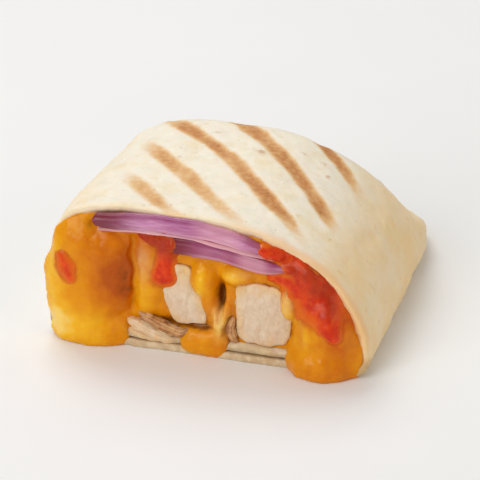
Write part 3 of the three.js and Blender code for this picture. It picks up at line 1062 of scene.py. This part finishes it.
def room_inside(x, z, wall):
    """How far points of the cut face lie inside the sheet, less the sheet's own thickness."""
    ring = outline(station(0), 720)
    away = np.full_like(x, 99.0)
    for ring_x, ring_z in ring:
        away = np.minimum(away, np.hypot(x - ring_x, z - ring_z))
    roof = roof_height(np.clip(x, -WIDTH / 2, WIDTH / 2), station(0))
    inside = (np.abs(x) < WIDTH / 2) & (z < roof)
    return np.where(inside, away, -away) - wall


def model_sauce(under):
    """Thin runs of sauce that lie on whatever is under them."""
    graph = bpy.context.evaluated_depsgraph_get()
    trees = [BVHTree.FromObject(piece, graph) for piece in under]
    left, right, low, high = -46, 44, 5, 37
    piece = add_grid("hot_sauce", *SAUCE_GRID)
    flat = raw_points(piece)
    x = left + (right - left) * flat[:, 0]
    z = low + (high - low) * flat[:, 1]
    points = np.stack([x, np.zeros_like(x), z], 1)
    uneven = 0.3 + 0.8 * smooth(np.abs(x + 12), 4, 9)
    warp_x = x + uneven * ripple(points, 5, 2, 1.7)
    warp_z = z + uneven * ripple(points, 5, 2, 11.7)
    height = np.full_like(x, -9.0)
    middle = np.zeros_like(x)
    for path, thick, deep in SAUCE_RUNS:
        share = run_share(warp_x, warp_z, path)
        raised = thick * (1 - (1 - np.clip(share, 0, 1)) ** 1.8)
        height = np.maximum(height, np.where(share > 0, raised, share * 1.5))
        middle = np.maximum(middle, share * deep)
    low_right = smooth(x, 18, 26) * (1 - smooth(z, 20, 25))
    to_rim = 0.85 * smooth(x, 16, 24) - 0.95 * low_right
    room = room_inside(x, z, SHEET + 0.1)
    height = np.minimum(height, (room + to_rim) * 1.8)
    wanted = height > -1.2
    y = np.full_like(x, 1.5)
    for index in np.nonzero(wanted)[0]:
        start = Vector(to_frame((x[index], -30, z[index])))
        hits = [tree.ray_cast(start, Vector((0, 1, 0)))[0] for tree in trees]
        y[index] = min([1.5 * MM + CUT_Y * MM, *(hit.y for hit in hits if hit)]) / MM - CUT_Y
    y = drape(y, flat, *SAUCE_GRID) - height
    set_points(piece, x, y, z)
    under_rim = smooth(8.5 - room, 0, 8) * smooth(z, 8, 24) * smooth(x, 16, 28)
    under_rim *= 0.8 + 0.8 * ripple(points, 4, 2, 8.1)
    under_onion = smooth(z, 25.5, 31) * (1 - smooth(x, -9, -7))
    paint(piece, middle=middle, shaded=under_onion + under_rim)
    delete_points(piece, ~wanted)
    with editing(piece):
        extrude(0, 2.2 * MM, 0)
    face_outwards(piece)
    smooth_out(piece, 6)
    return piece


def drape(y, flat, columns, rows):
    """Lets a skin bridge the small gaps under it, without sinking into what it lies on."""
    column, row = grid_places(flat, columns, rows)
    table = np.zeros((rows + 1, columns + 1))
    table[row, column] = y
    loose = table.copy()
    for _ in range(40):
        padded = np.pad(loose, 1, mode="edge")
        spread = (padded[:-2, 1:-1] + padded[2:, 1:-1] + padded[1:-1, :-2] + padded[1:-1, 2:]) / 4
        loose = np.minimum(table, spread)
    return loose[row, column]


# ---------------------------------------------------------------- seared bits

SHREDS = [
    # points (x, z), half thickness, browning, how far the middle stands out, cheese on it
    ([(-19.6, 9.8), (-16, 8.4), (-11.5, 6.6), (-7.2, 5.6), (-4.6, 7.0)], 1.4, 0.75, 0.6, 0.1),
    ([(-15.5, 6.9), (-12.5, 5.4), (-9.0, 4.6)], 1.1, 0.4, 0.9, 0.2),
    ([(-22.8, 7.4), (-18.5, 6.2), (-13, 4.2), (-7.6, 2.4)], 1.6, 0.05, 1.1, 0.15),
    ([(-22.6, 4.6), (-18, 3.6), (-12, 2.2)], 1.1, 0.1, 1.0, 0.1),
    ([(7.2, 12.6), (6.6, 10.2), (6.9, 7.4), (8.2, 4.4)], 1.3, 0.75, 0.7, 0.1),
]


def model_shred(name, path, thick, browned, ahead, coated, seed):
    """One torn fibre of chicken, lying along a path near the cut."""
    piece = add_slab(name, *SHRED_GRID, SHRED_STEPS)
    a, b, k = raw_points(piece).T
    a, b, t = 2 * a - 1, 2 * b - 1, k / SHRED_STEPS
    edge = np.maximum(np.abs(a), np.abs(b))
    length = np.maximum(1e-6, np.hypot(a, b))
    round_a, round_b = a * edge / length, b * edge / length
    nodes = np.linspace(0, 1, len(path))
    x, z = (through(t, nodes, column) for column in zip(*path))
    ahead_x, ahead_z = (through(np.minimum(1, t + 0.01), nodes, column) for column in zip(*path))
    turn_x, turn_z = ahead_x - x, ahead_z - z
    slope = np.where(t < 0.985, np.arctan2(turn_z, turn_x), 0)
    slope = np.where(t < 0.985, slope, slope[t < 0.985][-1])
    taper = np.sqrt(np.clip(1 - np.abs(2 * t - 1) ** 3, 0.02, 1))
    place = np.stack([x + seed, round_a, z + round_b], 1)
    around = np.arctan2(round_b, round_a)
    fibre = np.sin(9 * around + 2.5 * ripple(place, (5, 3, 3), 2, seed + 21))
    fibre += 0.5 * np.sin(17 * around + seed)
    swell = thick * taper * (1 + 0.22 * ripple(place, (4, 1, 2.5), 2, seed) + 0.05 * fibre)
    across = round_b * swell * (1 + 0.25 * ripple(place, 1, 2, seed + 5))
    forward = round_a * swell * 1.2
    px = x - across * np.sin(slope)
    pz = z + across * np.cos(slope)
    py = -ahead * np.sin(math.pi * t) + 0.6 - forward
    points = np.stack([px, py, pz], 1)
    points[:, 0] += 0.14 * ripple(points, 1.6, 2, seed + 9)
    points[:, 2] += 0.14 * ripple(points, 1.6, 2, seed + 13)
    set_points(piece, points)
    face_outwards(piece, merge=False)
    uneven = 0.2 * ripple(points, 2, 2, seed) - 0.1 * fibre + 0.25 * (round_b < -0.4)
    paint(
        piece,
        fibre=0.55 + 0.2 * fibre,
        crack=-fibre - 0.6,
        sear=browned + uneven,
        edge=0.9,
        coat=coated,
    )
    return piece


def model_shreds():
    """The torn, browned bits along the floor of the cut, as one piece."""
    made = []
    for index, shred in enumerate(SHREDS):
        made.append(model_shred(f"shred_{index}", *shred, seed=index * 7.3))
    return join("chicken_shreds", made)


# ---------------------------------------------------------------- materials


class Finish:
    """A material under construction, with short ways to add and link its nodes."""

    def __init__(self, name):
        self.material = bpy.data.materials.new(name)
        self.material.use_nodes = True
        self.tree = self.material.node_tree
        self.shader = self.tree.nodes["Principled BSDF"]
        self.place = self.add("ShaderNodeTexCoord").outputs["Object"]

    def add(self, kind, **inputs):
        node = self.tree.nodes.new(kind)
        for key, value in inputs.items():
            self.feed(node.inputs[key.replace("_", " ")], value)
        return node

    def feed(self, socket, value):
        if isinstance(value, bpy.types.NodeSocket):
            self.tree.links.new(value, socket)
        else:
            socket.default_value = value

    def stretched(self, stretch=None):
        if not stretch:
            return self.place
        mapping = self.add("ShaderNodeMapping", Vector=self.place)
        mapping.inputs["Scale"].default_value = stretch
        return mapping.outputs["Vector"]

    def noise(self, size, detail=3.0, rough=0.55, stretch=None):
        """Noise with features of a given size in millimetres, from 0 to 1."""
        place = self.stretched(stretch)
        scale = 1 / (size * MM)
        kind = "ShaderNodeTexNoise"
        node = self.add(kind, Vector=place, Scale=scale, Detail=detail, Roughness=rough)
        return node.outputs["Fac"]

    def cells(self, size, feature="F1", output="Distance", place=None):
        node = self.add("ShaderNodeTexVoronoi", Vector=place or self.place, Scale=1 / (size * MM))
        node.feature = feature
        return node.outputs[output]

    def wobbled(self, place, size, amount):
        """A place pushed about by noise, up to an amount in millimetres."""
        push = self.add("ShaderNodeVectorMath")
        push.operation = "MULTIPLY_ADD"
        wobble = self.add("ShaderNodeTexNoise", Vector=place, Scale=1 / (size * MM), Detail=2.0)
        self.feed(push.inputs[0], wobble.outputs["Color"])
        self.feed(push.inputs[1], (amount * MM, amount * MM, amount * MM))
        self.feed(push.inputs[2], place)
        return push.outputs["Vector"]

    def painted(self, name):
        node = self.add("ShaderNodeAttribute")
        node.attribute_name = name
        return node.outputs["Fac"]

    def maths(self, operation, a, b=0.0, c=0.0):
        node = self.add("ShaderNodeMath")
        node.operation = operation
        for socket, value in zip(node.inputs, (a, b, c)):
            self.feed(socket, value)
        return node.outputs["Value"]

    def span(self, value, low, high, to_low=0.0, to_high=1.0):
        """value, taken from low..high to to_low..to_high, smoothly and clamped."""
        node = self.add("ShaderNodeMapRange")
        node.interpolation_type = "SMOOTHSTEP"
        ends = {"From Min": low, "From Max": high, "To Min": to_low, "To Max": to_high}
        for key, number in ends.items():
            node.inputs[key].default_value = number
        self.feed(node.inputs["Value"], value)
        return node.outputs["Result"]

    def times(self, a, b):
        return self.maths("MULTIPLY", a, b)

    def mix(self, share, a, b):
        node = self.add("ShaderNodeMix")
        node.data_type = "RGBA"
        self.feed(node.inputs["Factor"], share)
        self.feed(node.inputs[6], a)
        self.feed(node.inputs[7], b)
        return node.outputs[2]

    def over(self, base, rgb, share):
        """A display colour laid over a base, as much as a share says."""
        return self.mix(share, base, colour(*rgb))

    def ramp(self, value, stops):
        """Display colours at the given places of a value, and mixed between them."""
        node = self.add("ShaderNodeValToRGB", Fac=value)
        elements = node.color_ramp.elements
        while len(elements) < len(stops):
            elements.new(0.5)
        for element, (place, *rgb) in zip(elements, stops):
            element.position = place
            element.color = colour(*rgb)
        return node.outputs["Color"]

    def bump(self, height, strength, distance):
        node = self.add("ShaderNodeBump", Height=height, Strength=strength, Distance=distance * MM)
        return node.outputs["Normal"]

    def set(self, **inputs):
        for key, value in inputs.items():
            self.feed(self.shader.inputs[key.replace("_", " ")], value)


def colour(red, green, blue):
    """A display colour, each channel up to 255, as linear light."""
    shares = [channel / 255 for channel in (red, green, blue)]
    return (*(c / 12.92 if c <= 0.04045 else ((c + 0.055) / 1.055) ** 2.4 for c in shares), 1)


def tortilla_finish():
    f = Finish("toasted_tortilla")
    cloud = f.noise(8, 4)
    fine = f.noise(1.5, 5, 0.6)
    shades = [(0.3, 244, 233, 212), (0.5, 247, 238, 220), (0.72, 242, 226, 192)]
    base = f.ramp(cloud, shades)
    moist = f.times(f.span(f.noise(4.5, 3), 0.5, 0.68), f.span(fine, 0.3, 0.6, 0.3, 1.0))
    base = f.over(base, (231, 227, 206), f.times(moist, 0.45))
    base = f.over(base, (228, 202, 156), f.span(f.noise(2.4, 4), 0.55, 0.8, 0, 0.4))
    toast = f.times(f.painted("toast"), f.span(f.noise(2.0, 4), 0.3, 0.65, 0.4, 1.1))
    base = f.over(base, (198, 146, 84), f.span(toast, 0.1, 0.9, 0, 0.75))
    uneven = f.span(f.noise(1.6, 4, 0.6), 0.25, 0.75, -0.2, 0.2)
    grill = f.maths("ADD", f.painted("grill"), f.times(uneven, f.painted("grill")))
    golden = f.span(grill, 0.02, 0.55, 0, 1)
    browned = f.span(grill, 0.35, 1.0, 0, 1)
    base = f.over(base, (230, 182, 118), f.times(golden, 0.9))
    base = f.over(base, (194, 124, 64), f.times(browned, 0.85))
    charred = f.times(f.span(grill, 0.7, 1.1), f.span(f.noise(1.2, 3), 0.52, 0.72))
    base = f.over(base, (140, 78, 34), f.times(charred, 0.55))
    specks = f.span(f.cells(3.1), 0.0, 0.15, 1, 0)
    specks = f.times(specks, f.span(f.noise(6, 2), 0.5, 0.64, 0, 0.65))
    base = f.over(base, (176, 116, 60), specks)
    # Warm beige sides: partly painted shade and warm bounce light, partly toasting.
    patches = f.span(f.noise(13, 3), 0.32, 0.68, 0.42, 0.72)
    base = f.over(base, (244, 204, 132), f.times(f.painted("side"), patches))
    base = f.over(base, (242, 158, 66), f.times(f.painted("stain"), 0.7))
    base = f.over(base, (248, 212, 150), f.times(f.painted("rim"), 0.4))
    # Darker bottom layers at the cut: partly soaked, partly painted shade.
    soak = f.times(f.painted("soak"), f.span(f.noise(2.2, 4), 0.3, 0.6, 0.5, 1.0))
    base = f.over(base, (186, 150, 104), f.times(soak, 0.7))
    height = f.maths("ADD", f.times(fine, 0.6), f.times(f.noise(0.5, 3), 0.35))
    f.set(
        Base_Color=base,
        Roughness=f.span(fine, 0.3, 0.7, 0.58, 0.78),
        Normal=f.bump(height, 0.35, 0.5),
        Subsurface_Weight=0.12,
        Subsurface_Radius=(1.0, 0.6, 0.3),
        Subsurface_Scale=0.002,
        Specular_IOR_Level=0.3,
    )
    return f.material


def cheese_finish():
    f = Finish("melted_cheese")
    # The tone carries painted shade and painted highlights as well as the cheese's own colour.
    tone = f.maths("ADD", f.painted("tone"), f.span(f.noise(3, 3), 0.25, 0.75, -0.07, 0.07))
    shades = [
        (0.05, 184, 82, 0),
        (0.35, 216, 120, 0),
        (0.6, 232, 150, 2),
        (0.88, 246, 186, 28),
        (1.0, 250, 208, 104),
    ]
    base = f.ramp(tone, shades)
    sauce = f.maths("ADD", f.painted("sauce"), f.span(f.noise(2.6, 4, 0.6), 0.3, 0.7, -0.15, 0.15))
    base = f.over(base, (200, 62, 4), f.span(sauce, 0.25, 0.95, 0, 0.8))
    base = f.over(base, (238, 200, 140), f.times(f.painted("cream"), 0.8))
    # Dark brown: painted shade in gaps, grooves and on turned-away faces, partly browned cheese.
    scorch = f.maths("ADD", f.painted("scorch"), f.span(f.noise(1.8, 3), 0.3, 0.7, -0.12, 0.12))
    base = f.over(base, (118, 54, 4), f.span(scorch, 0.3, 1.0, 0, 0.85))
    height = f.maths("ADD", f.noise(1.6, 2), f.times(f.noise(5, 2), 1.2))
    f.set(
        Base_Color=base,
        Roughness=f.span(f.noise(4, 3), 0.3, 0.7, 0.16, 0.3),
        Normal=f.bump(height, 0.18, 0.5),
        Subsurface_Weight=0.25,
        Subsurface_Radius=(1.0, 0.4, 0.06),
        Subsurface_Scale=0.003,
        Specular_IOR_Level=0.3,
        Specular_Tint=(1.0, 0.88, 0.66, 1.0),
    )
    return f.material


def chicken_finish():
    f = Finish("cooked_chicken")
    grain = f.span(f.noise(1.0, 3, 0.5, stretch=(1, 0.6, 0.7)), 0.3, 0.7, -0.12, 0.12)
    fibre = f.maths("ADD", f.painted("fibre"), grain)
    shades = [(0.1, 218, 190, 158), (0.5, 228, 203, 173), (0.9, 236, 216, 190)]
    base = f.ramp(fibre, shades)
    # Bundles of fibres, cut across: uneven cells with thin lines between them.
    bundles = f.wobbled(f.stretched((1, 0.12, 0.6)), 2.5, 2.2)
    lines = f.span(f.cells(1.7, "DISTANCE_TO_EDGE", place=bundles), 0.0, 0.13, 1, 0)
    lines = f.times(lines, f.span(f.noise(3, 3), 0.4, 0.62, 0.15, 1.0))
    tints = f.span(f.cells(1.7, output="Color", place=bundles), 0.2, 0.8, 0, 0.4)
    base = f.over(base, (240, 224, 203), tints)
    base = f.over(base, (206, 168, 130), f.times(lines, 0.42))
    cloudy = f.span(f.noise(3.5, 2), 0.42, 0.7, 0, 0.35)
    base = f.over(base, (222, 190, 160), cloudy)
    warm = f.times(f.painted("edge"), f.span(f.noise(2.4, 3), 0.35, 0.65, 0.1, 0.55))
    base = f.over(base, (230, 180, 104), warm)
    base = f.over(base, (198, 152, 116), f.times(f.painted("crack"), 0.25))
    base = f.over(base, (244, 196, 110), f.painted("coat"))
    sear = f.maths("ADD", f.painted("sear"), f.span(f.noise(2.2, 3), 0.3, 0.7, -0.16, 0.16))
    base = f.over(base, (210, 158, 98), f.span(sear, 0.25, 0.65, 0, 0.75))
    base = f.over(base, (150, 86, 36), f.span(sear, 0.55, 1.05, 0, 0.85))
    height = f.maths("ADD", f.times(f.painted("fibre"), 0.6), f.times(f.noise(0.7, 3), 0.6))
    height = f.maths("SUBTRACT", height, f.times(lines, 0.8))
    f.set(
        Base_Color=base,
        Roughness=f.span(f.noise(3, 3), 0.3, 0.7, 0.24, 0.42),
        Normal=f.bump(height, 0.2, 0.3),
        Subsurface_Weight=0.25,
        Subsurface_Radius=(1.0, 0.6, 0.4),
        Subsurface_Scale=0.002,
        Specular_IOR_Level=0.35,
    )
    return f.material


def onion_finish():
    f = Finish("red_onion")
    streaks = f.noise(0.7, 3, 0.55, stretch=(0.14, 0.3, 1.3))
    shades = [(0.3, 182, 104, 152), (0.52, 206, 142, 182), (0.75, 226, 180, 206)]
    flesh = f.ramp(streaks, shades)
    blush = f.span(f.noise(8, 2, stretch=(0.5, 0.5, 1)), 0.42, 0.62, 0, 0.55)
    flesh = f.over(flesh, (168, 76, 128), blush)
    flesh = f.over(flesh, (162, 72, 100), f.times(f.painted("deep"), 0.65))
    skin = f.span(f.painted("skin"), 0.72, 1.0, 0, 0.7)
    flesh = f.over(flesh, (148, 60, 108), skin)
    foot = f.span(f.painted("skin"), 0.0, 0.2, 0.4, 0)
    flesh = f.over(flesh, (232, 178, 196), foot)
    light = f.times(f.span(f.painted("along"), 0.5, 0.64), f.span(f.painted("along"), 0.86, 0.74))
    flesh = f.over(flesh, (238, 180, 192), f.times(light, 0.45))
    tip = f.span(f.painted("along"), 0.06, 0.3, 0.92, 0)
    flesh = f.over(flesh, (118, 14, 34), tip)
    only_upper = f.maths("SUBTRACT", 1.0, f.painted("deep"))
    darker = f.times(f.span(f.painted("along"), 0.76, 0.96, 0, 0.7), only_upper)
    flesh = f.over(flesh, (160, 62, 76), darker)
    end = f.span(f.painted("along"), 0.88, 0.99, 0, 0.75)
    flesh = f.over(flesh, (164, 66, 40), end)
    flesh = f.over(flesh, (236, 182, 184), f.times(f.painted("pale"), 0.8))
    f.set(
        Base_Color=flesh,
        Roughness=0.24,
        Normal=f.bump(streaks, 0.11, 0.3),
        Subsurface_Weight=0.3,
        Subsurface_Radius=(1.0, 0.4, 0.7),
        Subsurface_Scale=0.002,
        Specular_IOR_Level=0.4,
    )
    return f.material


def sauce_finish():
    f = Finish("hot_sauce")
    mottled = f.span(f.noise(3.4, 4, 0.6), 0.36, 0.64)
    base = f.mix(mottled, colour(232, 72, 12), colour(206, 40, 6))
    base = f.over(base, (238, 110, 14), f.span(f.noise(2.2, 3, 0.5), 0.55, 0.72, 0, 0.5))
    thin = f.span(f.painted("middle"), 0.0, 0.5, 1, 0)
    base = f.over(base, (226, 106, 6), thin)
    base = f.over(base, (160, 42, 6), f.times(f.painted("shaded"), 0.72))
    f.set(
        Base_Color=base,
        Roughness=f.span(f.noise(3, 2), 0.3, 0.7, 0.2, 0.34),
        Normal=f.bump(f.noise(1.3, 3), 0.22, 0.4),
        Subsurface_Weight=0.3,
        Subsurface_Radius=(1.0, 0.25, 0.05),
        Subsurface_Scale=0.002,
        Specular_IOR_Level=0.32,
        Specular_Tint=(1.0, 0.86, 0.72, 1.0),
    )
    return f.material


def floor_finish():
    f = Finish("pale_floor")
    base = f.mix(f.noise(60, 2), colour(240, 240, 240), colour(246, 246, 245))
    f.set(Base_Color=base, Roughness=0.6)
    return f.material


# ---------------------------------------------------------------- stage

AZIMUTH = 17
ELEVATION = 27
VIEW_DISTANCE = 1.0
LENS = 274


def direction(azimuth, elevation):
    a, e = math.radians(azimuth), math.radians(elevation)
    return Vector((math.sin(a) * math.cos(e), -math.cos(a) * math.cos(e), math.sin(e)))


def aim(thing, place, target):
    thing.location = place
    thing.rotation_euler = (target - place).to_track_quat("-Z", "Y").to_euler()


def add_camera():
    target = Vector(to_frame((0, 30, 20)))
    bpy.ops.object.camera_add()
    camera = bpy.context.object
    camera.name = "camera"
    camera.data.lens = LENS
    camera.data.clip_start = 0.01
    aim(camera, target + direction(AZIMUTH, ELEVATION) * VIEW_DISTANCE, target)
    bpy.context.scene.camera = camera


def add_light(name, azimuth, elevation, distance, size, power, tint=(1, 1, 1)):
    bpy.ops.object.light_add(type="AREA")
    light = bpy.context.object
    light.name = name
    light.data.size = size
    light.data.energy = power
    light.data.color = tint
    target = Vector((0, 0, 0.02))
    aim(light, target + direction(azimuth, elevation) * distance, target)


def set_stage():
    bpy.ops.object.select_all(action="DESELECT")
    bpy.ops.mesh.primitive_plane_add(size=6)
    floor = new_piece("floor")
    floor.data.materials.append(floor_finish())
    world = bpy.data.worlds.new("studio")
    world.use_nodes = True
    world.node_tree.nodes["Background"].inputs["Color"].default_value = (1, 1, 1, 1)
    world.node_tree.nodes["Background"].inputs["Strength"].default_value = 0.42
    bpy.context.scene.world = world
    bpy.context.scene.view_settings.view_transform = "Standard"
    add_light("key", -140, 55, 1.2, 0.7, 6)
    add_light("front", -25, 32, 1.3, 0.8, 6.5)
    add_light("warm side", 70, 30, 1.3, 0.8, 2.6, (1.0, 0.84, 0.62))


# ---------------------------------------------------------------- the wrap

bpy.ops.object.select_all(action="DESELECT")
add_camera()
set_stage()

tortilla = model_tortilla()
cheese = model_cheese()
core = model_cheese_core()
strips = {name: model_chicken(name, **strip) for name, strip in CHICKEN_STRIPS.items()}
slices = {name: model_onion(name, layers) for name, layers in ONION_SLICES.items()}
bits = model_shreds()
sauce = model_sauce([cheese, bits, *strips.values(), *slices.values()])

finish_piece(tortilla, tortilla_finish(), "tortilla", "tortilla")
cheese_look = cheese_finish()
finish_piece(cheese, cheese_look, "cheese", "cheese")
finish_piece(core, cheese_look, "cheese", "cheese")
chicken_look = chicken_finish()
for name, strip in strips.items():
    finish_piece(strip, chicken_look, "chicken", name)
onion_look = onion_finish()
for name, onion in slices.items():
    finish_piece(onion, onion_look, "onion", name)
finish_piece(bits, chicken_look, "chicken")
finish_piece(sauce, sauce_finish(), "cheese")
